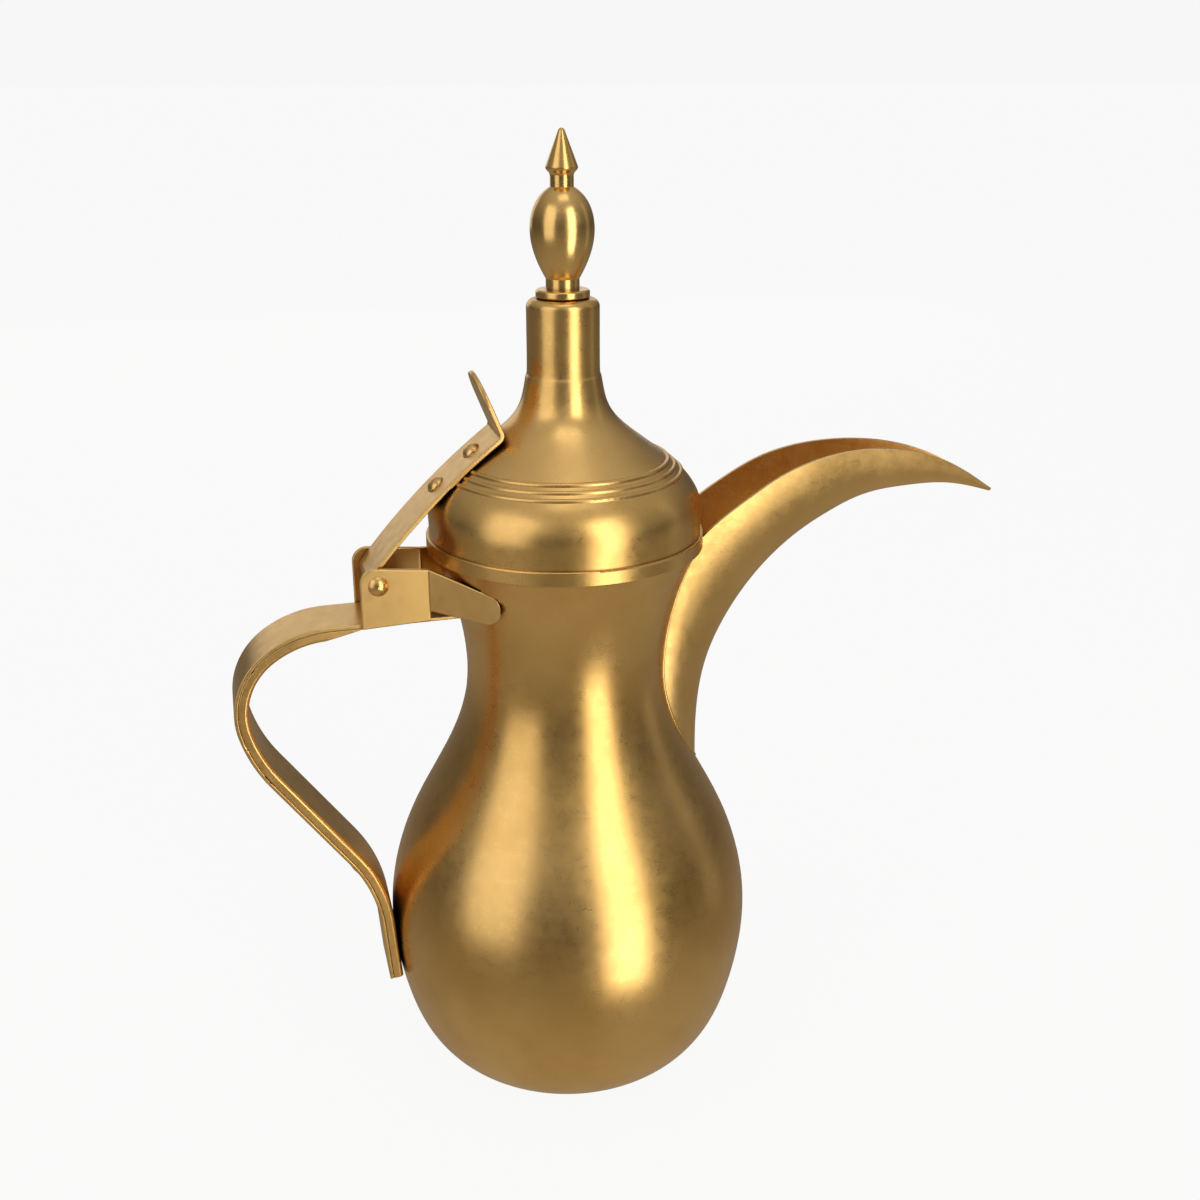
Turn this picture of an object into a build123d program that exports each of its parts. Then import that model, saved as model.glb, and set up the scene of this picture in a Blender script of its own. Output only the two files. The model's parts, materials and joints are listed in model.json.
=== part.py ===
"""A spun-brass dallah coffee pot: pot, crescent spout, strap handle and hinged lid.

Origin: bottom centre of the pot. +Z is up, +X points along the spout, the handle is at -X,
and the hinge pin lies along Y. Millimetres and degrees.
"""

from build123d import *
from math import cos, hypot, radians, sin
import os

os.makedirs("parts", exist_ok=True)

# ---------------------------------------------------------------- driving dimensions
total_height = 300.0

# pot
wall = 1.3                     # spun wall of pot and lid
base_radius = 34.0
base_thickness = 1.6
spigot_height = 1.4            # step of the base plate inside the shell's foot
spigot_radius = 31.6
base_chamfer = 0.5
belly_radius = 58.4
belly_z = 58.0
throat_radius = 41.0           # outside of the shell under the rim band
band_bottom = 178.7
band_radius = 42.3
band_edge = 0.5
rim_z = 183.3

# pouring holes through the pot wall behind the spout
pour_hole_radius = 1.7
pour_hole_pitch = 5.6
pour_hole_centre_z = 150.0
pour_hole_columns = 3
pour_hole_rows = 6

# spout
spout_wall = 1.1

# handle: a flat strap outside and a rounded bar brazed inside it
handle_width = 20.4
handle_strap_thickness = 1.2
handle_core_thickness = 3.1
handle_core_round = 1.2
handle_groove = 0.35           # rounding on both sides of the seam between strap and bar
tongue_start = (-31.0, 162.0)
tongue_length = 42.6
tongue_angle = 180.8
core_taper_x = -77.0           # the bar thins from here to nothing at the bracket
core_end_x = -60.5

# hinge bracket: two folded plates
bracket_sheet = 1.6
fold_x = -43.7                 # where an ear turns outward into its wing
ear_back_x = -64.1
ear_top_back = 179.3
ear_top_fold = 177.4
ear_bottom_back = 160.4
ear_bottom_fold = 161.4
ear_corner = 4.5
wing_angle = 42.1              # plan angle between a wing and its ear
wing_reach = 24.2
wing_top_end = 172.1
wing_bottom_fold = 164.4       # the wing starts a notch above the ear's lower edge
wing_bottom_end = 163.1
wing_corner = 4.2

# hinge
pin_x = -58.7
pin_z = 173.6
pin_radius = 1.75
pin_clearance = 0.06           # radial, between the pin and the lid's knuckle
pin_head_radius = 3.1
pin_head_height = 1.6

# lid strap, bent from one strip: knuckle, bowed strap, bend and thumb piece
strap_thickness = 1.5
strap_width = 19.8
strap_rise = 52.0              # slope of the strap where it leaves the knuckle
strap_bend = (-20.2, 214.9)
bend_radius = 2.2
thumb_angle = 112.0
thumb_length = 19.4
thumb_corner = 9.4

# lid
lid_edge_radius = 41.3
lid_neck_radius = 10.75
lid_neck_z = 239.0             # the neck runs straight from here up
lid_neck_round = 2.4
lid_top = 253.1
bead_radius = 0.9
bead_first = (35.05, 201.75)   # centre of the lowest of three beads
bead_step = (-1.98, 1.75)
skirt_radius = 37.8
skirt_wall = 1.0
skirt_drop = 3.0
skirt_flange = 1.2
skirt_gap = 0.2                # the flange stays off the pot's rim

# rivets of the lid strap, each at a fraction of the strap's bow
rivet_places = {"rear": 0.575, "front": 0.83}
rivet_head_radius = 3.0
rivet_head_height = 1.9
rivet_shank_radius = 1.5
rivet_grip = 4.5               # from under the head to under the closed tail
rivet_tail_radius = 2.2
rivet_tail_height = 0.9
burr_radius = 3.0
burr_thickness = 1.4           # before it is dressed to the curve of the lid

# finial
collar_radius = 7.9
collar_top = 255.7
collar_round = 0.8
bulb_neck_radius = 4.9
bulb_neck_top = 258.7
bulb_radius = 9.3
bulb_top = 284.2
stem_radius = 3.4
stem_top = 287.2
spear_radius = 4.65
spear_base = 289.6
spear_tip_radius = 1.0
stud_radius = 1.9
stud_bottom = 245.6
stud_top = 288.2
nut_flats = 7.0
nut_thickness = 3.2
washer_radius = 5.0
washer_thickness = 0.8

# ---------------------------------------------------------------- worked-out values
band_height = rim_z - band_bottom
handle_thickness = handle_strap_thickness + handle_core_thickness
ear_inner_y = handle_width / 2
ear_outer_y = ear_inner_y + bracket_sheet
washer_top = lid_top - wall
knuckle_inner = pin_radius + pin_clearance
knuckle_radius = knuckle_inner + strap_thickness
knuckle_middle = knuckle_inner + strap_thickness / 2

# half profiles of revolution, as (radius, height)
pot_curve = [
    (base_radius, base_thickness),
    (48.9, 14.0),
    (55.7, 32.0),
    (belly_radius, belly_z),
    (51.4, 86.0),
    (39.0, 110.0),
    (31.6, 132.0),
    (31.5, 147.0),
    (36.4, 168.0),
    (throat_radius, band_bottom),
]
lid_curve = [
    (lid_edge_radius, rim_z),
    (41.0, 193.6),
    (36.2, 201.2),
    (30.5, 206.1),
    (22.7, 212.0),
    (15.9, 218.0),
    (12.7, 223.6),
    (11.2, 230.6),
    (lid_neck_radius, lid_neck_z),
]


def save(part, name):
    """Label a finished piece and write it to its own file."""
    part.label = name
    export_step(part, "parts/" + name + ".step")


def inset(curve, thickness, count=12):
    """Points at an even distance to the left of a profile curve, from its end back to its start."""
    points = []
    for step in range(count, -1, -1):
        tangent = curve % (step / count)
        points.append(curve @ (step / count) + Vector(-tangent.Y, tangent.X) * thickness)
    return points


def across(point, tangent):
    """Plane square to a run in the XZ plane, with its X axis along Y and its Y axis on the inside."""
    return Plane(origin=point, x_dir=(0, 1, 0), z_dir=tangent)


def headed_pin(plane, radius, grip, head, tail):
    """Half profile of a pin along the plane's Y axis: head at the origin side, tail at the far end.

    head and tail are (radius, height) of shallow domes; the shank runs from 0 down to -grip.
    """
    with BuildSketch(plane) as profile:
        with BuildLine():
            dome = [(size**2 + height**2) / (2 * height) for size, height in (head, tail)]
            RadiusArc((0, head[1]), (head[0], 0), dome[0])
            Polyline((head[0], 0), (radius, 0), (radius, -grip), (tail[0], -grip))
            RadiusArc((tail[0], -grip), (0, -grip - tail[1]), dome[1])
            Line((0, -grip - tail[1]), (0, head[1]))
        make_face()
    return profile.sketch


# ================================================================ pot
with BuildPart() as pot_envelope:
    with BuildSketch(Plane.XZ):
        with BuildLine():
            Spline(*pot_curve)
            Polyline(pot_curve[-1], (throat_radius, rim_z), (0, rim_z))
            Polyline((0, rim_z), (0, 0), (base_radius, 0), pot_curve[0])
        make_face()
    revolve(axis=Axis.Z)
    with BuildSketch(Plane.XY.offset(band_bottom)):
        Circle(band_radius)
    extrude(amount=band_height)

with BuildPart() as body_shell:
    with BuildSketch(Plane.XZ):
        with BuildLine():
            outside = Spline(*pot_curve)
            inside = inset(outside, wall)
            throat_inside = throat_radius - wall
            Polyline(pot_curve[-1], (throat_radius, rim_z), (throat_inside, rim_z), inside[0])
            Spline(*inside)
            Polyline(inside[-1], (spigot_radius, base_thickness), pot_curve[0])
        make_face()
    revolve(axis=Axis.Z)
    with BuildSketch(Plane.YZ):
        with Locations((0, pour_hole_centre_z)):
            with GridLocations(pour_hole_pitch, pour_hole_pitch, pour_hole_columns, pour_hole_rows):
                Circle(pour_hole_radius)
    extrude(amount=belly_radius, mode=Mode.SUBTRACT)

with BuildPart() as base_plate:
    with BuildSketch(Plane.XY):
        Circle(base_radius)
    extrude(amount=base_thickness)
    chamfer(base_plate.faces().sort_by(Axis.Z)[0].edges(), length=base_chamfer)
    with BuildSketch(Plane.XY.offset(base_thickness)):
        Circle(spigot_radius)
    extrude(amount=spigot_height)

with BuildPart() as rim_band:
    with BuildSketch(Plane.XY.offset(band_bottom)):
        Circle(band_radius)
        Circle(throat_radius, mode=Mode.SUBTRACT)
    extrude(amount=band_height)
    fillet(rim_band.faces().sort_by(SortBy.AREA)[-1].edges().filter_by(GeomType.CIRCLE), radius=band_edge)

# ================================================================ spout
# Each station is an upright half ellipse: the lip line (x, z), the keel below it (x, z), and half the
# width between the lips. The first three stand inside the pot, where its wall closes the trough.
spout_stations = [
    ((30.5, 92.0), (43.8, 92.0), 12.2),
    ((28.5, 112.0), (43.0, 112.0), 12.7),
    ((27.3, 133.0), (44.8, 131.5), 13.0),
    ((28.4, 156.5), (49.8, 145.6), 13.1),
    ((36.4, 176.8), (58.6, 159.8), 13.2),
    ((49.5, 188.6), (69.6, 171.7), 13.2),
    ((63.6, 197.2), (81.3, 179.9), 12.2),
    ((80.6, 202.7), (92.8, 185.5), 10.2),
    ((98.5, 203.7), (104.6, 188.4), 7.8),
    ((117.2, 200.3), (117.0, 189.2), 5.6),
    ((130.5, 194.5), (127.8, 188.8), 3.5),
    ((139.3, 189.0), (138.0, 186.6), 1.7),
    ((144.0, 185.9), (143.6, 184.9), 0.7),
]


def trough_section(station, shrink=0.0, rise=0.0):
    """Half ellipse hung from a station's lip line towards its keel, with an upright part above it."""
    lip, keel, half_width = station
    depth = hypot(lip[0] - keel[0], lip[1] - keel[1])
    up = Vector(lip[0] - keel[0], 0, lip[1] - keel[1])
    across = Vector(0, 1, 0)
    with BuildSketch(Plane(origin=(lip[0], 0, lip[1]), x_dir=across, z_dir=across.cross(up))) as section:
        with BuildLine():
            side = half_width - shrink
            EllipticalCenterArc((0, 0), side, depth - shrink, start_angle=180, arc_size=180)
            Polyline((-side, 0), (-side, rise), (side, rise), (side, 0))
        make_face()
    return section.sketch


with BuildPart() as spout_hollow:
    loft(sections=[trough_section(s, min(spout_wall, 0.6 * s[2]), rise=1.0) for s in spout_stations[:-1]])

with BuildPart() as spout:
    loft(sections=[trough_section(s, rise=0.01) for s in spout_stations])
    add(spout_hollow.part, mode=Mode.SUBTRACT)
    add(pot_envelope.part, mode=Mode.SUBTRACT)

# ================================================================ handle
# The outer face seen from the side: tongue, shoulder, bow, long slope, knee and foot on the belly.
with BuildLine(Plane.XZ) as handle_path:
    tongue = PolarLine(tongue_start, length=tongue_length, angle=tongue_angle)
    shoulder = JernArc(tongue @ 1, tongue % 1, radius=33.5, arc_size=34.3)
    bow = JernArc(shoulder @ 1, shoulder % 1, radius=24.7, arc_size=69.0)
    heel = JernArc(bow @ 1, bow % 1, radius=50.2, arc_size=22.2)
    slope = PolarLine(heel @ 1, length=36.8, direction=heel % 1)
    knee = JernArc(slope @ 1, slope % 1, radius=46.0, arc_size=-31.5)
    PolarLine(knee @ 1, length=20.4, direction=knee % 1)
handle_wire = handle_path.wire()
handle_section_plane = across(handle_wire @ 0, handle_wire % 0)

with BuildPart() as handle_strap:
    with BuildSketch(handle_section_plane):
        with Locations((0, handle_strap_thickness / 2)):
            Rectangle(handle_width, handle_strap_thickness)
        fillet(vertices(), radius=handle_groove)
    sweep(path=handle_wire)
    add(pot_envelope.part, mode=Mode.SUBTRACT)

with BuildPart() as handle_core:
    with BuildSketch(handle_section_plane):
        with Locations((0, handle_strap_thickness + handle_core_thickness / 2)):
            Rectangle(handle_width, handle_core_thickness)
        fillet(vertices().group_by(Axis.Y)[-1], radius=handle_core_round)
        seam_corners = vertices().group_by(Axis.Y)[0]
        fillet(seam_corners.filter_by(lambda v: v.Y < handle_thickness / 2), radius=handle_groove)
    sweep(path=handle_wire)
    with BuildSketch(Plane.XZ):
        with BuildLine():
            taper_z = tongue_start[1] - handle_strap_thickness
            Polyline(
                (core_taper_x, taper_z - handle_core_thickness - 1),
                (core_end_x, taper_z),
                (core_end_x, rim_z),
                (0, rim_z),
                (0, taper_z - 2 * handle_core_thickness),
                (core_taper_x, taper_z - 2 * handle_core_thickness),
                close=True,
            )
        make_face()
    extrude(amount=handle_width, both=True, mode=Mode.SUBTRACT)
    add(pot_envelope.part, mode=Mode.SUBTRACT)

# ================================================================ hinge bracket
with BuildPart() as hinge_bracket_near:
    with BuildSketch(Plane.XY.offset(ear_bottom_back)):
        with BuildLine():
            wing_end = (
                fold_x + wing_reach * cos(radians(wing_angle)),
                -ear_outer_y - wing_reach * sin(radians(wing_angle)),
            )
            Polyline((ear_back_x, -ear_outer_y), (fold_x, -ear_outer_y), wing_end)
            offset(amount=bracket_sheet, side=Side.LEFT)
        make_face()
    extrude(amount=ear_top_back - ear_bottom_back)
    with BuildSketch(Plane.XZ):
        with BuildLine():
            Polyline(
                (ear_back_x, ear_bottom_back),
                (ear_back_x, ear_top_back),
                (fold_x, ear_top_fold),
                (wing_end[0], wing_top_end),
                (wing_end[0], wing_bottom_end),
                (fold_x, wing_bottom_fold),
                (fold_x, ear_bottom_fold),
                close=True,
            )
        make_face()
        fillet(vertices().group_by(Axis.X)[0].sort_by(Axis.Y)[-1], radius=ear_corner)
        fillet(vertices().group_by(Axis.X)[-1], radius=wing_corner)
    extrude(amount=ear_outer_y + wing_reach, mode=Mode.INTERSECT)
    with BuildSketch(Plane.XZ):
        with Locations((pin_x, pin_z)):
            Circle(pin_radius)
    extrude(amount=2 * ear_outer_y, mode=Mode.SUBTRACT)
    add(pot_envelope.part, mode=Mode.SUBTRACT)

with BuildPart() as hinge_bracket_far:
    mirror(hinge_bracket_near.part, about=Plane.XZ)

# ================================================================ hinge pin
with BuildPart() as hinge_pin:
    pin_head = (pin_head_radius, pin_head_height)
    pin_plane = Plane(origin=(pin_x, ear_outer_y, pin_z), x_dir=(1, 0, 0), z_dir=(0, 0, 1))
    revolve(
        headed_pin(pin_plane, pin_radius, 2 * ear_outer_y, pin_head, pin_head),
        axis=Axis(pin_plane.origin, pin_plane.y_dir),
    )

# ================================================================ lid
with BuildPart() as lid_envelope:
    with BuildSketch(Plane.XZ):
        with BuildLine():
            Spline(*lid_curve, tangents=[(0, 1), (0, 1)])
            Polyline(lid_curve[-1], (lid_neck_radius, lid_top), (0, lid_top), (0, rim_z), lid_curve[0])
        make_face()
        for bead in range(3):
            with Locations((bead_first[0] + bead * bead_step[0], bead_first[1] + bead * bead_step[1])):
                Circle(bead_radius)
    revolve(axis=Axis.Z)

with BuildLine(Plane.XZ) as strap_path:
    rise = Vector(cos(radians(strap_rise)), 0, sin(radians(strap_rise)))
    strap_root = (pin_x - knuckle_middle * rise.Z, 0, pin_z + knuckle_middle * rise.X)
    strap_bow = TangentArc((strap_root[0], strap_root[2]), strap_bend, tangent=(rise.X, rise.Z))
    PolarLine(strap_bend, length=thumb_length, angle=thumb_angle)
    fillet(vertices().sort_by_distance((strap_bend[0], 0, strap_bend[1]))[0], radius=bend_radius)
strap_wire = strap_path.wire()


def rivet_plane(place):
    """Plane on the strap's top face at a fraction of its bow, with its Y axis standing off the strap."""
    tangent = strap_bow % place
    normal = Vector(-tangent.Z, 0, tangent.X)
    origin = strap_bow @ place + normal * (strap_thickness / 2)
    return Plane(origin=origin, x_dir=(0, 1, 0), z_dir=Vector(0, 1, 0).cross(normal))


rivet_planes = {name: rivet_plane(place) for name, place in rivet_places.items()}
rivet_shanks = [
    Plane(origin=plane.origin, x_dir=(0, 1, 0), z_dir=-plane.y_dir) for plane in rivet_planes.values()
]

with BuildPart() as rivet_bores:
    with BuildSketch(*rivet_shanks):
        Circle(rivet_shank_radius)
    extrude(amount=rivet_grip)

with BuildPart() as lid_strap:
    with BuildSketch(across(strap_wire @ 0, strap_wire % 0)):
        Rectangle(strap_width, strap_thickness)
    sweep(path=strap_wire)
    fillet(lid_strap.edges().filter_by(Axis.Y, reverse=True).sort_by(Axis.Z)[-2:], radius=thumb_corner)
    with BuildSketch(Plane.XZ):
        with Locations((pin_x, pin_z)):
            Circle(knuckle_radius)
    extrude(amount=strap_width / 2, both=True)
    with BuildSketch(Plane.XZ):
        with Locations((pin_x, pin_z)):
            Circle(knuckle_inner)
    extrude(amount=strap_width / 2, both=True, mode=Mode.SUBTRACT)
    add(lid_envelope.part, mode=Mode.SUBTRACT)
    add(rivet_bores.part, mode=Mode.SUBTRACT)


with BuildPart() as lid_shell:
    with BuildSketch(Plane.XZ):
        with BuildLine():
            outside = Spline(*lid_curve, tangents=[(0, 1), (0, 1)])
            inside = inset(outside, wall)
            neck_inside = lid_neck_radius - wall
            Polyline(lid_curve[-1], (lid_neck_radius, lid_top), (stud_radius, lid_top))
            Polyline((stud_radius, lid_top), (stud_radius, washer_top), (neck_inside, washer_top))
            Line((neck_inside, washer_top), inside[0])
            Spline(*inside)
            Line(inside[-1], lid_curve[0])
        make_face()
        fillet(vertices().sort_by_distance((lid_neck_radius, lid_top))[0], radius=lid_neck_round)
        for bead in range(3):
            with Locations((bead_first[0] + bead * bead_step[0], bead_first[1] + bead * bead_step[1])):
                Circle(bead_radius)
    revolve(axis=Axis.Z)
    add(rivet_bores.part, mode=Mode.SUBTRACT)

with BuildPart() as lid_skirt:
    with BuildSketch(Plane.XZ):
        with BuildLine():
            flange_z = rim_z + skirt_gap
            Polyline(
                (skirt_radius - skirt_wall, rim_z - skirt_drop),
                (skirt_radius, rim_z - skirt_drop),
                (skirt_radius, flange_z),
                (lid_edge_radius - wall / 2, flange_z),
                (lid_edge_radius - wall / 2, flange_z + skirt_flange),
                (skirt_radius - skirt_wall, flange_z + skirt_flange),
                close=True,
            )
        make_face()
    revolve(axis=Axis.Z)
    add(lid_shell.part, mode=Mode.SUBTRACT)

# ================================================================ rivets
rivets = {}
burrs = {}
for name, plane in rivet_planes.items():
    axis = Axis(plane.origin, plane.y_dir)
    head = (rivet_head_radius, rivet_head_height)
    tail = (rivet_tail_radius, rivet_tail_height)
    with BuildPart() as rivet:
        revolve(headed_pin(plane, rivet_shank_radius, rivet_grip, head, tail), axis=axis)
    rivets["strap_rivet_" + name] = rivet.part

    burr_top = plane.origin - plane.y_dir * (rivet_grip - burr_thickness)
    with BuildPart() as burr:
        with BuildSketch(Plane(origin=burr_top, x_dir=(0, 1, 0), z_dir=-plane.y_dir)):
            Circle(burr_radius)
            Circle(rivet_shank_radius, mode=Mode.SUBTRACT)
        extrude(amount=burr_thickness)
        add(lid_shell.part, mode=Mode.SUBTRACT)
    burrs["rivet_burr_" + name] = burr.part

# ================================================================ finial
with BuildPart() as finial_collar:
    with BuildSketch(Plane.XZ):
        with Locations(((stud_radius + collar_radius) / 2, (lid_top + collar_top) / 2)):
            Rectangle(collar_radius - stud_radius, collar_top - lid_top)
        fillet(vertices().group_by(Axis.X)[-1], radius=collar_round)
    revolve(axis=Axis.Z)

with BuildPart() as finial_bulb:
    with BuildSketch(Plane.XZ):
        with BuildLine():
            Polyline(
                (bulb_neck_radius, bulb_neck_top),
                (bulb_neck_radius, collar_top),
                (stud_radius, collar_top),
                (stud_radius, bulb_top),
                (stem_radius, bulb_top),
            )
            Spline(
                (bulb_neck_radius, bulb_neck_top),
                (7.2, 263.2),
                (bulb_radius, 272.2),
                (7.8, 279.5),
                (stem_radius, bulb_top),
            )
        make_face()
    revolve(axis=Axis.Z)

with BuildPart() as finial_spear:
    with BuildSketch(Plane.XZ):
        with BuildLine():
            tip_shoulder = (spear_tip_radius, total_height - 0.8)
            Polyline((0, total_height), (0, stud_top), (stud_radius, stud_top), (stud_radius, bulb_top))
            Polyline((stud_radius, bulb_top), (stem_radius, bulb_top), (stem_radius, stem_top))
            Spline((stem_radius, stem_top), (spear_radius, spear_base), tangents=[(0, 1), (0, 1)])
            Line((spear_radius, spear_base), tip_shoulder)
            TangentArc((0, total_height), tip_shoulder, tangent=(1, 0))
        make_face()
    revolve(axis=Axis.Z)

with BuildPart() as finial_stud:
    with BuildSketch(Plane.XY.offset(stud_bottom)):
        Circle(stud_radius)
    extrude(amount=stud_top - stud_bottom)

with BuildPart() as finial_washer:
    with BuildSketch(Plane.XY.offset(washer_top)):
        Circle(washer_radius)
        Circle(stud_radius, mode=Mode.SUBTRACT)
    extrude(amount=-washer_thickness)

with BuildPart() as finial_nut:
    with BuildSketch(Plane.XY.offset(washer_top - washer_thickness)):
        RegularPolygon(nut_flats / 2, 6, major_radius=False)
        Circle(stud_radius, mode=Mode.SUBTRACT)
    extrude(amount=-nut_thickness)
    nut_ends = finial_nut.faces().filter_by(Axis.Z).edges().filter_by(GeomType.LINE)
    chamfer(nut_ends, length=0.4)

# ================================================================ files
pieces = {
    "body_shell": body_shell.part,
    "base_plate": base_plate.part,
    "rim_band": rim_band.part,
    "spout": spout.part,
    "handle_strap": handle_strap.part,
    "handle_core": handle_core.part,
    "hinge_bracket_near": hinge_bracket_near.part,
    "hinge_bracket_far": hinge_bracket_far.part,
    "hinge_pin": hinge_pin.part,
    "lid_shell": lid_shell.part,
    "lid_skirt": lid_skirt.part,
    "lid_strap": lid_strap.part,
    "finial_collar": finial_collar.part,
    "finial_bulb": finial_bulb.part,
    "finial_spear": finial_spear.part,
    "finial_stud": finial_stud.part,
    "finial_washer": finial_washer.part,
    "finial_nut": finial_nut.part,
}
for name, part in {**pieces, **rivets, **burrs}.items():
    save(part, name)
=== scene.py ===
"""Looks for a brass dallah coffee pot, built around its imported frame.

The pot stands at the origin with +Z up, its spout towards +X and its handle towards -X. Lengths in
this file are metres, apart from the fields and values that say millimetres and pass through mm().
"""

import json
import logging
import math
from dataclasses import dataclass
from enum import Enum

import bmesh
import bpy
from mathutils import Euler, Matrix, Vector, noise
from mathutils.bvhtree import BVHTree


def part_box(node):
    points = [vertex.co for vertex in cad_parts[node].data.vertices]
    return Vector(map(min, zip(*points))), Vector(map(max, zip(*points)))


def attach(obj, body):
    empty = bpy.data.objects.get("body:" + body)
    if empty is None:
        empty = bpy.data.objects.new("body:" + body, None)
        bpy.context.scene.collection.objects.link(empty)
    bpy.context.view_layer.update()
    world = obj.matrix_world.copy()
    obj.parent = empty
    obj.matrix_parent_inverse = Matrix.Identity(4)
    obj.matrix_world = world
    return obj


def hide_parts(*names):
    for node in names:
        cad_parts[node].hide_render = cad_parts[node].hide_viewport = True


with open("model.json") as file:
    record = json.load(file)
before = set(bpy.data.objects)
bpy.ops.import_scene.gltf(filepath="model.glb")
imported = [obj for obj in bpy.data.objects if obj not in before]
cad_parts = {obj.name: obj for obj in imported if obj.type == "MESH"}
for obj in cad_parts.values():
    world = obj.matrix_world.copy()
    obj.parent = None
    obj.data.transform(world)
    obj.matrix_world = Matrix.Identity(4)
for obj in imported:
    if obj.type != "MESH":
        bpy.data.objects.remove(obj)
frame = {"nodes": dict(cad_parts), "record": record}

LOG = logging.getLogger("dallah")
FLAT_ANGLE = 0.6               # degrees: faces closer than this are joined into one
REACH = 0.2                    # metres: further out than any wall of the pot
BEAD_SIDES = 10
ROOM = 1.15                    # widths of flat that a crease needs beside it to be rounded
MERGE_DISTANCE = 0.002         # millimetres: corners closer than this are one corner
FLOOR_DROP = 0.05              # millimetres: how far the floor lies under the pot's foot

# what a mask's input is where the mask is 0 and where it is 1
LINE_CONTRAST = (0.30, 0.70)    # noise
EDGE_ALIGNMENT = (0.995, 0.86)  # dot product of the rounded and the true normal
SHADE_OPENNESS = (0.80, 0.25)   # share of the surroundings that a point is open to, for the painted shade in seams and corners

# shares that the masks have in a finish's roughness, beside a share of 1 for the blotches
SPECKLE_GLOSS = 0.40
LINE_GLOSS = 0.45
# the mask of painted shade also roughens the metal in seams and corners
SHADE_GLOSS = 0.60
GLOSS_FULL = 2.0               # the sum of the shares that gives a finish its greatest roughness
SPECKLE_DEPTH = 0.35           # depth of the speckle's dimples, as a share of the blotches'

# sockets of a colour Mix node, which share their names with its other data types
MIX_FACTOR, MIX_LOW, MIX_HIGH, MIX_RESULT = 0, 6, 7, 2

Point = tuple[float, float, float]
Range = tuple[float, float]
Colour = tuple[float, float, float]


def mm(value: float) -> float:
    """Millimetres as metres."""
    return value / 1000.0


class Body(Enum):
    """The bodies that pieces ride on."""

    POT = "pot"
    LID = "lid"


class Grain(Enum):
    """Which way the fine tool marks of a finish run."""

    TURNED = (0.06, 0.06, 1.0)
    ALONG_X = (0.10, 1.0, 1.0)
    NONE = (1.0, 1.0, 1.0)


# ---------------------------------------------------------------- shared node groups


class NodeGroup:
    """A shader node group with named sockets, made once and placed in many materials."""

    def __init__(
        self,
        name: str,
        inputs: dict[str, tuple[str, float]],
        outputs: dict[str, str],
    ) -> None:
        """Makes the empty group and its sockets.

        Args:
            name: The group's name.
            inputs: Socket name to its type and default.
            outputs: Socket name to its type.
        """
        self.tree = bpy.data.node_groups.new(name, "ShaderNodeTree")
        for socket_name, (kind, default) in inputs.items():
            socket = self.tree.interface.new_socket(socket_name, in_out="INPUT", socket_type=kind)
            if kind == "NodeSocketFloat":
                socket.default_value = default
        for socket_name, kind in outputs.items():
            self.tree.interface.new_socket(socket_name, in_out="OUTPUT", socket_type=kind)
        self.source = self.tree.nodes.new("NodeGroupInput")
        self.sink = self.tree.nodes.new("NodeGroupOutput")

    def add(self, kind: str, **values: object) -> bpy.types.Node:
        """Adds a node and sets its plain attributes.

        Args:
            kind: The node's type name.
            values: Attribute names and their values.

        Returns:
            The new node.
        """
        return add_node(self.tree, kind, **values)

    def join(self, start: bpy.types.NodeSocket, end: bpy.types.NodeSocket) -> None:
        """Links an output socket to an input socket."""
        self.tree.links.new(start, end)


def add_node(tree: bpy.types.NodeTree, kind: str, **values: object) -> bpy.types.Node:
    """Adds a node to a tree and sets its plain attributes.

    Args:
        tree: The node tree.
        kind: The node's type name.
        values: Attribute names and their values.

    Returns:
        The new node.
    """
    node = tree.nodes.new(kind)
    for name, value in values.items():
        setattr(node, name, value)
    return node


def mottle_group() -> NodeGroup:
    """Cloudy unevenness of hand-rubbed metal: broad clouds, small blotches and a fine speckle.

    Returns:
        The group, with masks Cloud, Blotch and Speckle.
    """
    group = NodeGroup(
        "mottle",
        {"Vector": ("NodeSocketVector", 0.0), "Scale": ("NodeSocketFloat", 1.0)},
        {"Cloud": "NodeSocketFloat", "Blotch": "NodeSocketFloat", "Speckle": "NodeSocketFloat"},
    )
    for output, scale, detail, (low, high) in (
        ("Cloud", 22.0, 3.0, (0.35, 0.66)),
        ("Blotch", 260.0, 2.0, (0.25, 0.75)),
        ("Speckle", 900.0, 2.0, (0.25, 0.75)),
    ):
        size = group.add("ShaderNodeMath", operation="MULTIPLY")
        size.inputs[1].default_value = scale
        clouds = group.add("ShaderNodeTexNoise")
        clouds.inputs["Detail"].default_value = detail
        clouds.inputs["Roughness"].default_value = 0.6
        spread = group.add("ShaderNodeMapRange", interpolation_type="SMOOTHSTEP")
        spread.inputs["From Min"].default_value = low
        spread.inputs["From Max"].default_value = high
        group.join(group.source.outputs["Scale"], size.inputs[0])
        group.join(group.source.outputs["Vector"], clouds.inputs["Vector"])
        group.join(size.outputs[0], clouds.inputs["Scale"])
        group.join(clouds.outputs["Fac"], spread.inputs["Value"])
        group.join(spread.outputs["Result"], group.sink.inputs[output])
    return group


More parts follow.
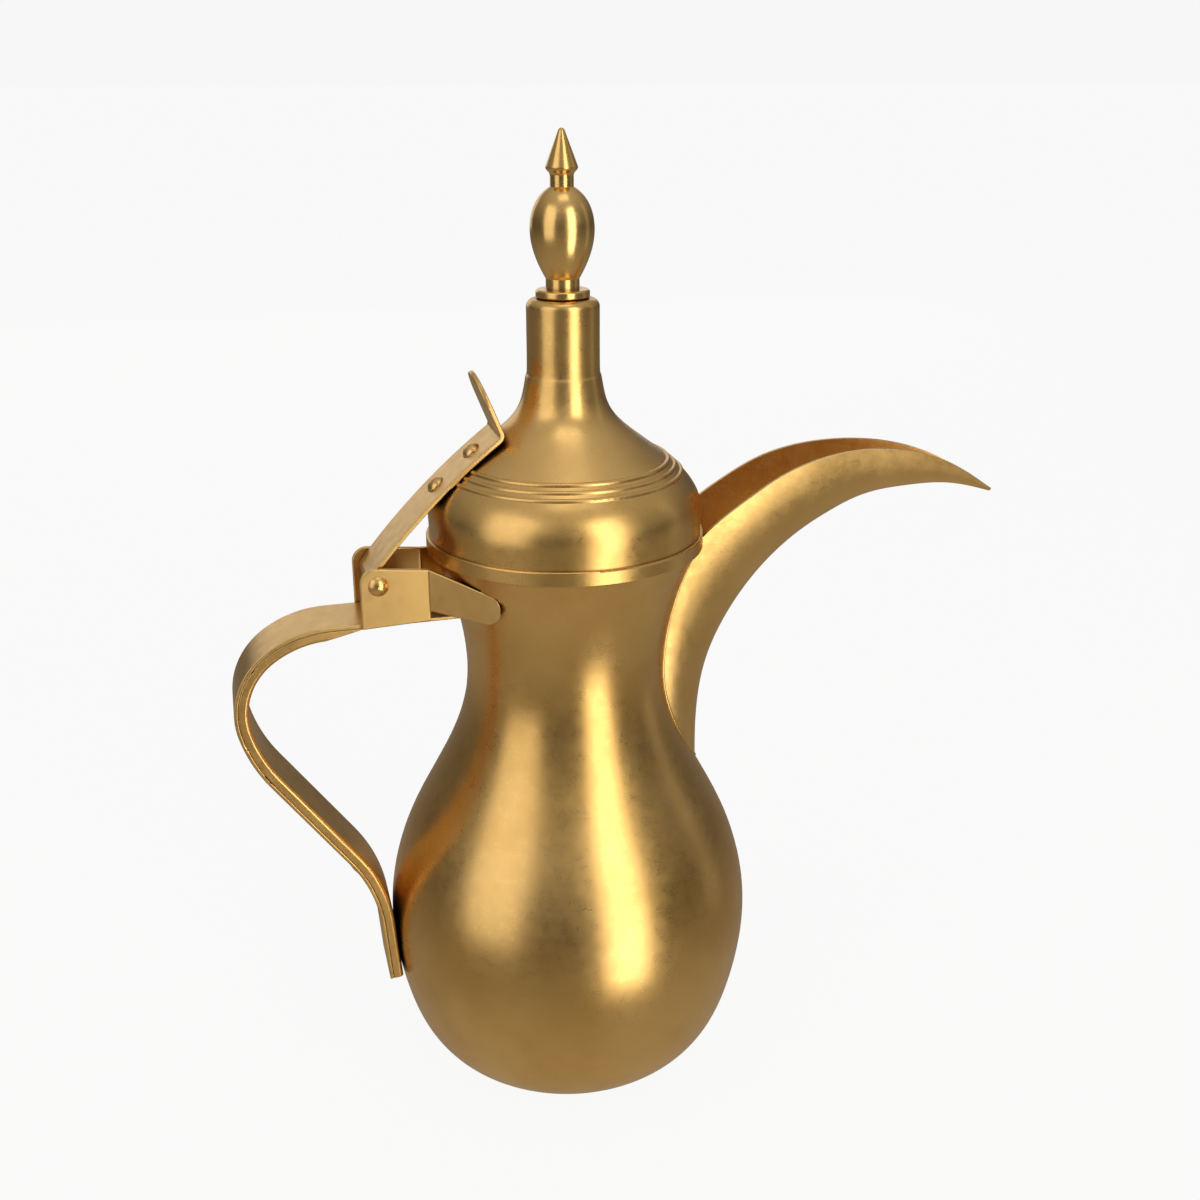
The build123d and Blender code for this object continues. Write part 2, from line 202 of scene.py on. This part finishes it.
def tool_mark_group() -> NodeGroup:
    """Fine parallel lines left by a lathe or a brush, broken up along their length.

    Returns:
        The group, with the mask Lines.
    """
    group = NodeGroup(
        "tool_marks",
        {"Vector": ("NodeSocketVector", 0.0), "Density": ("NodeSocketFloat", 900.0)},
        {"Lines": "NodeSocketFloat"},
    )
    fine = group.add("ShaderNodeTexNoise")
    fine.inputs["Detail"].default_value = 4.0
    fine.inputs["Roughness"].default_value = 0.75
    spread = group.add("ShaderNodeMapRange")
    spread.inputs["From Min"].default_value, spread.inputs["From Max"].default_value = LINE_CONTRAST
    group.join(group.source.outputs["Vector"], fine.inputs["Vector"])
    group.join(group.source.outputs["Density"], fine.inputs["Scale"])
    group.join(fine.outputs["Fac"], spread.inputs["Value"])
    group.join(spread.outputs["Result"], group.sink.inputs["Lines"])
    return group


def edge_wear_group() -> NodeGroup:
    """Bright rubbed edges: where the surface's rounded normal leaves its true one.

    Returns:
        The group, with the mask Edge.
    """
    group = NodeGroup(
        "edge_wear",
        {"Radius": ("NodeSocketFloat", 0.0006)},
        {"Edge": "NodeSocketFloat"},
    )
    rounded = group.add("ShaderNodeBevel", samples=4)
    true = group.add("ShaderNodeNewGeometry")
    match = group.add("ShaderNodeVectorMath", operation="DOT_PRODUCT")
    spread = group.add("ShaderNodeMapRange", interpolation_type="SMOOTHSTEP")
    spread.inputs["From Min"].default_value, spread.inputs["From Max"].default_value = EDGE_ALIGNMENT
    group.join(group.source.outputs["Radius"], rounded.inputs["Radius"])
    group.join(rounded.outputs["Normal"], match.inputs[0])
    group.join(true.outputs["Normal"], match.inputs[1])
    group.join(match.outputs["Value"], spread.inputs["Value"])
    group.join(spread.outputs["Result"], group.sink.inputs["Edge"])
    return group


def painted_shade_group() -> NodeGroup:
    """Painted shade: darkening in seams and corners, where the surroundings hide a point from light.

    Returns:
        The group, with one mask of painted shade.
    """
    group = NodeGroup(
        "painted_shade",
        {"Distance": ("NodeSocketFloat", 0.003)},
        {"SeamShade": "NodeSocketFloat"},
    )
    shade = group.add("ShaderNodeAmbientOcclusion", samples=6)
    spread = group.add("ShaderNodeMapRange", interpolation_type="SMOOTHSTEP")
    spread.inputs["From Min"].default_value, spread.inputs["From Max"].default_value = SHADE_OPENNESS
    group.join(group.source.outputs["Distance"], shade.inputs["Distance"])
    group.join(shade.outputs["AO"], spread.inputs["Value"])
    group.join(spread.outputs["Result"], group.sink.inputs["SeamShade"])
    return group


@dataclass(frozen=True)
class Brass:
    """One brass finish: its colours, its gloss and its tool marks.

    Colours are linear, and the darkest one is painted shade for seams and corners. Depths, the
    wear's radius and the reach of the painted shade are in millimetres.
    """

    slot: str
    bright: Colour
    deep: Colour
    painted_shade: Colour
    roughness: Range
    grain: Grain
    line_density: float
    line_depth: float
    dimple_depth: float
    wear_radius: float
    worn: Colour = (0.95, 0.70, 0.34)
    shade_distance: float = 2.5

    def material(self, groups: dict[str, NodeGroup]) -> bpy.types.Material:
        """Builds the finish.

        Args:
            groups: The shared node groups by name.

        Returns:
            The material.
        """
        made = bpy.data.materials.new(self.slot)
        made.use_nodes = True
        tree = made.node_tree
        tree.nodes.clear()
        place = add_node(tree, "ShaderNodeTexCoord")
        metal = add_node(tree, "ShaderNodeBsdfPrincipled")
        output = add_node(tree, "ShaderNodeOutputMaterial")
        metal.inputs["Metallic"].default_value = 1.0
        tree.links.new(metal.outputs["BSDF"], output.inputs["Surface"])

        mottle = self._place(tree, groups["mottle"])
        tree.links.new(place.outputs["Object"], mottle.inputs["Vector"])
        stretch = add_node(tree, "ShaderNodeMapping")
        stretch.inputs["Scale"].default_value = self.grain.value
        tree.links.new(place.outputs["Object"], stretch.inputs["Vector"])
        marks = self._place(tree, groups["tool_marks"])
        marks.inputs["Density"].default_value = self.line_density
        tree.links.new(stretch.outputs["Vector"], marks.inputs["Vector"])
        edges = self._place(tree, groups["edge_wear"])
        edges.inputs["Radius"].default_value = mm(self.wear_radius)
        seams = self._place(tree, groups["painted_shade"])
        seams.inputs["Distance"].default_value = mm(self.shade_distance)

        tone = self._blend(tree, self.deep, self.bright, mottle.outputs["Cloud"])
        worn = self._blend(tree, tone, self.worn, edges.outputs["Edge"])
        # painted shade: the colour darkens in seams and corners by ambient occlusion
        shaded = self._blend(tree, worn, self.painted_shade, seams.outputs["SeamShade"])
        tree.links.new(shaded, metal.inputs["Base Color"])
        self._gloss(tree, metal, mottle, marks, seams)
        self._relief(tree, metal, mottle, marks)
        return made

    @staticmethod
    def _place(tree: bpy.types.NodeTree, group: NodeGroup) -> bpy.types.Node:
        """Places a shared group in a tree and returns its node."""
        node = add_node(tree, "ShaderNodeGroup")
        node.node_tree = group.tree
        return node

    @staticmethod
    def _blend(
        tree: bpy.types.NodeTree,
        low: bpy.types.NodeSocket | Colour,
        high: Colour,
        mask: bpy.types.NodeSocket,
    ) -> bpy.types.NodeSocket:
        """Blends two colours by a mask.

        Args:
            tree: The material's tree.
            low: The colour, or the socket that gives it, where the mask is 0.
            high: The colour where the mask is 1.
            mask: The mask's socket.

        Returns:
            The blended colour's socket.
        """
        mix = add_node(tree, "ShaderNodeMix", data_type="RGBA")
        if isinstance(low, tuple):
            mix.inputs[MIX_LOW].default_value = (*low, 1.0)
        else:
            tree.links.new(low, mix.inputs[MIX_LOW])
        mix.inputs[MIX_HIGH].default_value = (*high, 1.0)
        tree.links.new(mask, mix.inputs[MIX_FACTOR])
        return mix.outputs[MIX_RESULT]

    def _gloss(
        self,
        tree: bpy.types.NodeTree,
        metal: bpy.types.Node,
        mottle: bpy.types.Node,
        marks: bpy.types.Node,
        seams: bpy.types.Node,
    ) -> None:
        """Feeds the shader's roughness from blotches, speckle, tool marks and the painted shade's
        mask.

        Args:
            tree: The material's tree.
            metal: The metal shader.
            mottle: The mottle group's node.
            marks: The tool marks group's node.
            seams: The painted shade group's node.
        """
        low, high = self.roughness
        total = mottle.outputs["Blotch"]
        for mask, share in (
            (mottle.outputs["Speckle"], SPECKLE_GLOSS),
            (marks.outputs["Lines"], LINE_GLOSS),
            (seams.outputs["SeamShade"], SHADE_GLOSS),
        ):
            step = add_node(tree, "ShaderNodeMath", operation="MULTIPLY_ADD")
            step.inputs[1].default_value = share
            tree.links.new(mask, step.inputs[0])
            tree.links.new(total, step.inputs[2])
            total = step.outputs[0]
        gloss = add_node(tree, "ShaderNodeMapRange")
        gloss.inputs["From Max"].default_value = GLOSS_FULL
        gloss.inputs["To Min"].default_value = low
        gloss.inputs["To Max"].default_value = high
        tree.links.new(total, gloss.inputs["Value"])
        tree.links.new(gloss.outputs["Result"], metal.inputs["Roughness"])

    def _relief(
        self,
        tree: bpy.types.NodeTree,
        metal: bpy.types.Node,
        mottle: bpy.types.Node,
        marks: bpy.types.Node,
    ) -> None:
        """Feeds the shader's normal from tool marks over small dimples.

        Args:
            tree: The material's tree.
            metal: The metal shader.
            mottle: The mottle group's node.
            marks: The tool marks group's node.
        """
        below = None
        for mask, depth in (
            (mottle.outputs["Blotch"], self.dimple_depth),
            (mottle.outputs["Speckle"], SPECKLE_DEPTH * self.dimple_depth),
            (marks.outputs["Lines"], self.line_depth),
        ):
            bump = add_node(tree, "ShaderNodeBump")
            bump.inputs["Distance"].default_value = mm(depth)
            tree.links.new(mask, bump.inputs["Height"])
            if below is not None:
                tree.links.new(below, bump.inputs["Normal"])
            below = bump.outputs["Normal"]
        tree.links.new(below, metal.inputs["Normal"])


# Each finish's darkest colour is painted shade, laid into its seams and corners and around the rivet
# heads.
FINISHES = (
    Brass(
        slot="spun_brass",
        bright=(0.87, 0.555, 0.2),
        deep=(0.75, 0.46, 0.148),
        painted_shade=(0.16, 0.085, 0.03),
        roughness=(0.24, 0.37),
        grain=Grain.TURNED,
        line_density=1500.0,
        line_depth=0.0016,
        dimple_depth=0.003,
        wear_radius=0.5,
    ),
    Brass(
        slot="sheet_brass",
        bright=(0.86, 0.56, 0.215),
        deep=(0.75, 0.47, 0.16),
        painted_shade=(0.17, 0.08, 0.03),
        roughness=(0.26, 0.44),
        grain=Grain.ALONG_X,
        line_density=1300.0,
        line_depth=0.0020,
        dimple_depth=0.004,
        wear_radius=0.45,
    ),
    Brass(
        slot="bar_brass",
        bright=(0.87, 0.55, 0.2),
        deep=(0.73, 0.435, 0.14),
        painted_shade=(0.15, 0.07, 0.03),
        roughness=(0.24, 0.42),
        grain=Grain.ALONG_X,
        line_density=1100.0,
        line_depth=0.0022,
        dimple_depth=0.006,
        wear_radius=0.5,
    ),
    Brass(
        slot="turned_brass",
        bright=(0.89, 0.58, 0.22),
        deep=(0.77, 0.485, 0.16),
        painted_shade=(0.16, 0.08, 0.03),
        roughness=(0.17, 0.32),
        grain=Grain.TURNED,
        line_density=2200.0,
        line_depth=0.0016,
        dimple_depth=0.002,
        wear_radius=0.4,
    ),
    Brass(
        slot="pin_brass",
        bright=(0.87, 0.57, 0.22),
        deep=(0.7, 0.425, 0.145),
        painted_shade=(0.10, 0.05, 0.02),
        roughness=(0.22, 0.40),
        grain=Grain.NONE,
        line_density=1400.0,
        line_depth=0.0016,
        dimple_depth=0.012,
        wear_radius=0.4,
        shade_distance=1.2,
    ),
)


# ---------------------------------------------------------------- studio


@dataclass(frozen=True)
class Softbox:
    """A rectangular light, placed by its bearing and height as the pot sees it.

    Bearing is in degrees to the right of the camera, rise in degrees above level, and distance and
    size in metres. Glow is how bright its face is, where 1 is as bright as white paper.
    """

    name: str
    bearing: float
    rise: float
    distance: float
    size: tuple[float, float]
    glow: float
    tint: Colour = (1.0, 1.0, 1.0)


@dataclass(frozen=True)
class Studio:
    """Camera, floor, sky and lights.

    Room tones are what the metal reflects, from straight down at 0 to straight up at 1. The floor's
    colour and glow are what the eye sees, and its paint is what lights the pot.
    """

    turn: float = -14.7
    camera_place: Point = (-0.0972, -0.4130, 0.3153)
    camera_dip: float = 20.13
    camera_angle: float = 45.0
    aim: Point = (0.0, 0.0, 0.12)
    backdrop: Colour = (0.93, 0.93, 0.93)
    room_tones: tuple[tuple[float, Colour], ...] = (
        (0.00, (0.42, 0.38, 0.32)),
        (0.30, (0.26, 0.235, 0.20)),
        (0.50, (0.09, 0.085, 0.08)),
        (0.72, (0.27, 0.26, 0.25)),
        (1.00, (0.55, 0.54, 0.52)),
    )
    floor_colour: Colour = (0.985, 0.985, 0.985)
    floor_paint: Colour = (0.72, 0.70, 0.67)
    floor_glow: float = 0.94
    floor_size: float = 30.0
    softboxes: tuple[Softbox, ...] = (
        Softbox("key", 37.0, 6.0, 1.25, (0.58, 2.00), 2.7, (1.0, 0.98, 0.88)),
        Softbox("fill", -46.0, 18.0, 1.30, (0.95, 1.50), 0.95, (1.0, 0.98, 0.94)),
        Softbox("top", 20.0, 76.0, 1.20, (0.60, 0.40), 0.90, (1.0, 0.99, 0.96)),
        Softbox("right_rim", 104.0, 10.0, 1.50, (0.35, 1.60), 0.22, (1.0, 0.99, 0.97)),
        Softbox("back", -165.0, 14.0, 1.60, (1.80, 0.80), 0.66, (1.0, 0.99, 0.98)),
    )

    def build(self) -> None:
        """Builds the camera, the lights, the sky and the floor."""
        self._camera()
        self._sky()
        self._floor()
        for softbox in self.softboxes:
            self._light(softbox)
        bpy.context.scene.view_settings.view_transform = "Standard"
        LOG.info("studio: %d softboxes", len(self.softboxes))

    def _camera(self) -> None:
        """Makes the camera and gives it to the scene."""
        lens = bpy.data.cameras.new("camera")
        lens.sensor_fit = "HORIZONTAL"
        lens.angle = math.radians(self.camera_angle)
        lens.clip_end = 2 * self.floor_size
        camera = bpy.data.objects.new("camera", lens)
        camera.location = self.camera_place
        camera.rotation_euler = Euler(
            (math.radians(90.0 - self.camera_dip), 0.0, math.radians(self.turn)), "XYZ"
        )
        bpy.context.scene.collection.objects.link(camera)
        bpy.context.scene.camera = camera

    def _light(self, softbox: Softbox) -> None:
        """Hangs one softbox, facing the pot.

        Args:
            softbox: Where it hangs, and its size and power.
        """
        lamp = bpy.data.lights.new(softbox.name, "AREA")
        lamp.shape = "RECTANGLE"
        lamp.size, lamp.size_y = softbox.size
        lamp.energy = softbox.glow * math.pi * lamp.size * lamp.size_y
        lamp.color = softbox.tint
        bearing = math.radians(softbox.bearing + self.turn)
        rise = math.radians(softbox.rise)
        away = Vector((
            math.sin(bearing) * math.cos(rise),
            -math.cos(bearing) * math.cos(rise),
            math.sin(rise),
        ))
        hung = bpy.data.objects.new(softbox.name, lamp)
        hung.location = Vector(self.aim) + away * softbox.distance
        hung.rotation_euler = (-away).to_track_quat("-Z", "Y").to_euler()
        bpy.context.scene.collection.objects.link(hung)

    def _sky(self) -> None:
        """Makes a pale sky for the eye, and a dimmer room for what the metal reflects."""
        world = bpy.data.worlds.new("studio")
        world.use_nodes = True
        tree = world.node_tree
        tree.nodes.clear()
        bpy.context.scene.world = world
        place = add_node(tree, "ShaderNodeTexCoord")
        split = add_node(tree, "ShaderNodeSeparateXYZ")
        room = add_node(tree, "ShaderNodeValToRGB")
        tree.links.new(place.outputs["Generated"], split.inputs[0])
        height = add_node(tree, "ShaderNodeMapRange")
        height.inputs["From Min"].default_value = -1.0
        tree.links.new(split.outputs["Z"], height.inputs["Value"])
        tree.links.new(height.outputs["Result"], room.inputs["Fac"])
        stops = room.color_ramp.elements
        lowest, *between, highest = self.room_tones
        for stop, (position, colour) in zip(stops, (lowest, highest)):
            stop.position, stop.color = position, (*colour, 1.0)
        for position, colour in between:
            stops.new(position).color = (*colour, 1.0)
        seen = add_node(tree, "ShaderNodeBackground")
        seen.inputs["Color"].default_value = (*self.backdrop, 1.0)
        lit = add_node(tree, "ShaderNodeBackground")
        tree.links.new(room.outputs["Color"], lit.inputs["Color"])
        ray = add_node(tree, "ShaderNodeLightPath")
        choose = add_node(tree, "ShaderNodeMixShader")
        output = add_node(tree, "ShaderNodeOutputWorld")
        tree.links.new(ray.outputs["Is Camera Ray"], choose.inputs[0])
        tree.links.new(lit.outputs[0], choose.inputs[1])
        tree.links.new(seen.outputs[0], choose.inputs[2])
        tree.links.new(choose.outputs[0], output.inputs["Surface"])

    def _floor(self) -> None:
        """Lays a pale floor with a soft contact shadow."""
        bm = bmesh.new()
        bmesh.ops.create_grid(bm, x_segments=1, y_segments=1, size=self.floor_size)
        bmesh.ops.translate(bm, verts=bm.verts, vec=(0.0, 0.0, -mm(FLOOR_DROP)))
        mesh = bpy.data.meshes.new("floor")
        bm.to_mesh(mesh)
        bm.free()
        floor = bpy.data.objects.new("floor", mesh)
        bpy.context.scene.collection.objects.link(floor)
        paint = bpy.data.materials.new("floor_paint")
        paint.use_nodes = True
        tree = paint.node_tree
        tree.nodes.clear()
        matt = add_node(tree, "ShaderNodeBsdfDiffuse")
        matt.inputs["Color"].default_value = (*self.floor_paint, 1.0)
        glow = add_node(tree, "ShaderNodeEmission")
        glow.inputs["Color"].default_value = (*self.floor_colour, 1.0)
        ray = add_node(tree, "ShaderNodeLightPath")
        share = add_node(tree, "ShaderNodeMath", operation="MULTIPLY")
        share.inputs[1].default_value = self.floor_glow
        choose = add_node(tree, "ShaderNodeMixShader")
        output = add_node(tree, "ShaderNodeOutputMaterial")
        tree.links.new(ray.outputs["Is Camera Ray"], share.inputs[0])
        tree.links.new(share.outputs[0], choose.inputs[0])
        tree.links.new(matt.outputs[0], choose.inputs[1])
        tree.links.new(glow.outputs[0], choose.inputs[2])
        tree.links.new(choose.outputs[0], output.inputs["Surface"])
        mesh.materials.append(paint)
        floor.visible_glossy = False


# ---------------------------------------------------------------- workshop


@dataclass(frozen=True)
class Fit:
    """Where a piece belongs: its body, its finish's slot and the nodes that it stands for."""

    body: Body
    slot: str
    nodes: tuple[str, ...] = ()
    smooth_angle: float = 35.0


class Workshop:
    """Holds the finishes, and turns finished meshes into pieces of the pot."""

    def __init__(self) -> None:
        """Builds the shared node groups and every finish."""
        groups = {
            "mottle": mottle_group(),
            "tool_marks": tool_mark_group(),
            "edge_wear": edge_wear_group(),
            "painted_shade": painted_shade_group(),
        }
        self.finishes = {brass.slot: brass.material(groups) for brass in FINISHES}

    def dress(self, node: str, slot: str) -> None:
        """Gives a CAD node its finish.

        Args:
            node: The node's name.
            slot: The finish's slot.
        """
        mesh = frame["nodes"][node].data
        mesh.materials.clear()
        mesh.materials.append(self.finishes[slot])
        LOG.info("dressed %s in %s", node, slot)

    def finish_mesh(self, bm: bmesh.types.BMesh, name: str, fit: Fit) -> bpy.types.Object:
        """Turns a finished bmesh into a piece that rides, stands for its nodes and has its finish.

        Args:
            bm: The finished mesh, which is used up.
            name: The piece's name.
            fit: The body, slot and nodes that the piece belongs to.

        Returns:
            The piece.
        """
        mesh = bpy.data.meshes.new(name)
        bm.to_mesh(mesh)
        bm.free()
        mesh.shade_smooth()
        mesh.set_sharp_from_angle(angle=math.radians(fit.smooth_angle))
        mesh.materials.append(self.finishes[fit.slot])
        piece = bpy.data.objects.new(name, mesh)
        bpy.context.scene.collection.objects.link(piece)
        even = piece.modifiers.new("even_shading", "WEIGHTED_NORMAL")
        even.keep_sharp = True
        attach(piece, fit.body.value)
        if fit.nodes:
            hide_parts(*fit.nodes)
        LOG.info("piece %s on %s: %d faces", name, fit.body.value, len(mesh.polygons))
        return piece


def merged_copy(node: str) -> bmesh.types.BMesh:
    """A CAD node's mesh as a bmesh of its own, with doubles merged and flat triangles joined.

    Args:
        node: The node's name.

    Returns:
        The bmesh.
    """
    bm = bmesh.new()
    bm.from_mesh(frame["nodes"][node].data)
    bmesh.ops.remove_doubles(bm, verts=bm.verts, dist=mm(MERGE_DISTANCE))
    flat = math.radians(FLAT_ANGLE)
    bmesh.ops.dissolve_limit(bm, angle_limit=flat, verts=bm.verts, edges=bm.edges)
    bmesh.ops.recalc_face_normals(bm, faces=bm.faces)
    return bm


def soften(bm: bmesh.types.BMesh, width: float, crease: float = 40.0, segments: int = 3) -> None:
    """Rounds the creases of a mesh, apart from those that have no room for it beside them.

    Args:
        bm: The mesh.
        width: How far the rounding reaches, in millimetres.
        crease: The least angle between two faces that counts as a crease, in degrees.
        segments: How many strips the rounding has.
    """
    limit, room = math.radians(crease), ROOM * mm(width)
    shared = (edge for edge in bm.edges if len(edge.link_faces) == 2)
    creases = {edge for edge in shared if edge.calc_face_angle() > limit}
    tight = {
        vert
        for edge in creases
        for vert in edge.verts
        if any(side not in creases and side.calc_length() < room for side in vert.link_edges)
    }
    creases = [edge for edge in creases if not tight.intersection(edge.verts)]
    creases.sort(key=lambda edge: edge.index)
    bmesh.ops.bevel(
        bm,
        geom=creases,
        offset=mm(width),
        offset_type="OFFSET",
        affect="EDGES",
        segments=segments,
        profile=0.5,
        material=-1,
        clamp_overlap=False,
    )


def wall_radius(tree: BVHTree, height: float, bearing: float = math.pi / 2) -> float:
    """How far a round wall stands from the Z axis.

    Args:
        tree: The wall's faces.
        height: The height to look at.
        bearing: The direction to look from, about Z from +X.

    Returns:
        The wall's outer radius there, or 0 where there is no wall.
    """
    outward = Vector((math.cos(bearing), math.sin(bearing), 0.0))
    far = outward * REACH + Vector((0.0, 0.0, height))
    hit = tree.ray_cast(far, -outward, REACH)[0]
    return math.hypot(hit.x, hit.y) if hit else 0.0


def node_faces(node: str) -> BVHTree:
    """A CAD node's faces, ready for ray casts."""
    bm = bmesh.new()
    bm.from_mesh(frame["nodes"][node].data)
    faces = BVHTree.FromBMesh(bm)
    bm.free()
    return faces


def bead_of_solder(path: list[Vector], radius: float) -> bmesh.types.BMesh:
    """A thin round bead along an open path.

    Args:
        path: The bead's middle line.
        radius: The bead's radius.

    Returns:
        The bead, closed at both ends.
    """
    bm = bmesh.new()
    first = path[1] - path[0]
    start = Matrix.Translation(path[0]) @ first.to_track_quat("Z", "Y").to_matrix().to_4x4()
    ring = bmesh.ops.create_circle(
        bm, cap_ends=True, radius=radius, segments=BEAD_SIDES, matrix=start
    )["verts"]
    direction = first.normalized()
    for before, here in zip(path, path[1:]):
        step = (here - before).normalized()
        caps = (face for face in bm.faces if len(face.verts) == BEAD_SIDES)
        face = next(face for face in caps if set(face.verts) == set(ring))
        grown = bmesh.ops.extrude_face_region(bm, geom=[face])["geom"]
        if before is not path[0]:
            bmesh.ops.delete(bm, geom=[face], context="FACES_ONLY")
        ring = [item for item in grown if isinstance(item, bmesh.types.BMVert)]
        bmesh.ops.translate(bm, verts=ring, vec=here - before)
        turn = direction.rotation_difference(step).to_matrix().to_4x4()
        about = Matrix.Translation(here) @ turn @ Matrix.Translation(-here)
        bmesh.ops.transform(bm, matrix=about, verts=ring)
        direction = step
    bmesh.ops.recalc_face_normals(bm, faces=bm.faces)
    return bm


@dataclass(frozen=True)
class Seams:
    """The bead of solder where the spout meets the pot.

    Sizes are in millimetres. The spout is looked for from a little inside the wall, up to a reach,
    at bearings from 0 to the widest, in radians from +X.
    """

    bead_radius: float = 0.42
    below_band: float = 0.2
    above_keel: float = 0.1
    inside: float = 0.3
    reach: float = 0.8
    stations: int = 44
    scan: int = 700
    widest: float = 0.55

    def build(self, workshop: Workshop) -> None:
        """Builds the spout's seam.

        Args:
            workshop: Finishes the mesh.
        """
        near, far = self._side(-1.0), self._side(1.0)
        path = near + list(reversed(far))
        bm = bead_of_solder(path, mm(self.bead_radius))
        workshop.finish_mesh(bm, "spout_seam", Fit(Body.POT, "spun_brass"))

    def _side(self, side: float) -> list[Vector]:
        """Follows the spout's foot down one side of the pot.

        Args:
            side: -1 for the near side and 1 for the far one.

        Returns:
            The seam's points, from the rim down to the keel.
        """
        wall, spout = node_faces("body_shell"), node_faces("spout")
        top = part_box("rim_band")[0].z - mm(self.below_band)
        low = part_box("spout")[0].z + mm(self.above_keel)
        points = []
        for index in range(self.stations):
            share = index / (self.stations - 1)
            height = low + (top - low) * (1.0 - share) ** 2
            radius = wall_radius(wall, height)
            bearing = self._edge(spout, height, radius, side)
            if bearing is not None:
                across = side * radius * math.sin(bearing)
                points.append(Vector((radius * math.cos(bearing), across, height)))
        return points

    def _edge(self, spout: BVHTree, height: float, radius: float, side: float) -> float | None:
        """The widest bearing at which the spout still touches the wall at one height.

        Args:
            spout: The spout's faces.
            height: The height to look at.
            radius: The wall's radius there.
            side: -1 for the near side and 1 for the far one.

        Returns:
            The bearing from +X, or None where the spout doesn't reach the wall.
        """
        found = None
        for index in range(self.scan):
            bearing = self.widest * index / self.scan
            outward = Vector((math.cos(bearing), side * math.sin(bearing), 0.0))
            start = outward * (radius - mm(self.inside)) + Vector((0, 0, height))
            if spout.ray_cast(start, outward, mm(self.reach))[0]:
                found = bearing
        return found


@dataclass(frozen=True)
class Fixings:
    """The hinge pin and the strap's rivets, with heads closed by a hammer.

    Sizes are in millimetres.
    """

    nodes: tuple[str, ...] = ("hinge_pin", "strap_rivet_rear", "strap_rivet_front")
    rounding: float = 0.15
    dent: float = 0.06
    dent_size: float = 1.1

    def build(self, workshop: Workshop) -> None:
        """Builds every pin and rivet.

        Args:
            workshop: Finishes the meshes.
        """
        for node in self.nodes:
            bm = merged_copy(node)
            soften(bm, self.rounding, segments=2)
            for vert in bm.verts:
                dent = noise.noise(vert.co / mm(self.dent_size)) * mm(self.dent)
                vert.co -= vert.normal * max(0.0, dent)
            body = Body.POT if node == "hinge_pin" else Body.LID
            workshop.finish_mesh(bm, node + "_peened", Fit(body, "pin_brass", (node,)))


@dataclass(frozen=True)
class SheetWork:
    """The pieces cut and bent from sheet and bar, each with its edges broken by a file.

    Widths are in millimetres.
    """

    filed: tuple[tuple[str, float], ...] = (
        ("handle_strap", 0.20),
        ("handle_core", 0.25),
        ("hinge_bracket_near", 0.45),
        ("hinge_bracket_far", 0.45),
        ("lid_strap", 0.40),
    )

    def build(self, workshop: Workshop) -> None:
        """Builds every piece of sheet and bar.

        Args:
            workshop: Finishes the meshes.
        """
        slots = {part["node"]: part["material_slot"] for part in frame["record"]["subparts"]}
        lid_nodes = frame["record"]["behaviour"]["bodies"]["lid"]
        for node, width in self.filed:
            body = Body.LID if node in lid_nodes else Body.POT
            bm = merged_copy(node)
            soften(bm, width)
            workshop.finish_mesh(bm, node + "_filed", Fit(body, slots[node], (node,)))


def main() -> None:
    """Builds the studio, dresses the pot and reports each piece."""
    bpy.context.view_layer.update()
    Studio().build()
    workshop = Workshop()
    for part in frame["record"]["subparts"]:
        workshop.dress(part["node"], part["material_slot"])
    SheetWork().build(workshop)
    Fixings().build(workshop)
    Seams().build(workshop)


if __name__ == "__main__":
    logging.basicConfig(level=logging.INFO)
    main()
